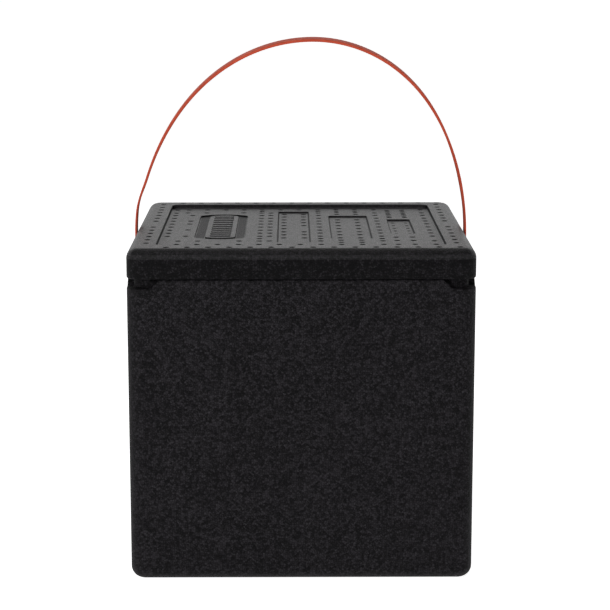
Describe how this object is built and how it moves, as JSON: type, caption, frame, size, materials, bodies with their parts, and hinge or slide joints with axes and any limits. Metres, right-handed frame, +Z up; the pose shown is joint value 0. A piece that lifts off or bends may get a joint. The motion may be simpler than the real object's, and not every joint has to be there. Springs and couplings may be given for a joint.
{
  "type": "insulated food carrier",
  "caption": "Square black bead-foam box with a push-on lid, corner finger notches and an arched red carrying strap on side pins.",
  "frame": {"origin": "centre of the box's base, on the surface that it stands on", "axes": "+Z up, +X to the right seen from the front, the front face looks along -Y"},
  "size_m": [0.427, 0.41, 0.639],
  "materials": {
    "foam": "black moulded bead foam, finely pebbled",
    "strap": "red flexible plastic band, satin",
    "socket": "black moulded plastic"
  },
  "bodies": {
    "box": {"box_body": "foam", "anchor_socket_left": "socket", "anchor_socket_right": "socket"},
    "cover": {"lid": "foam"},
    "strap": {"carry_strap": "strap", "strap_stud_left": "strap", "strap_stud_right": "strap"}
  },
  "joints": [
    {"name": "lid_lift", "type": "slide", "parent": "box", "child": "cover", "axis": [0, 0, 1], "range_m": [0, 0.016]},
    {"name": "strap_swing", "type": "hinge", "parent": "box", "child": "strap", "pos_m": [0, 0, 0.339], "axis": [1, 0, 0], "range_deg": [-38, 28]}
  ]
}
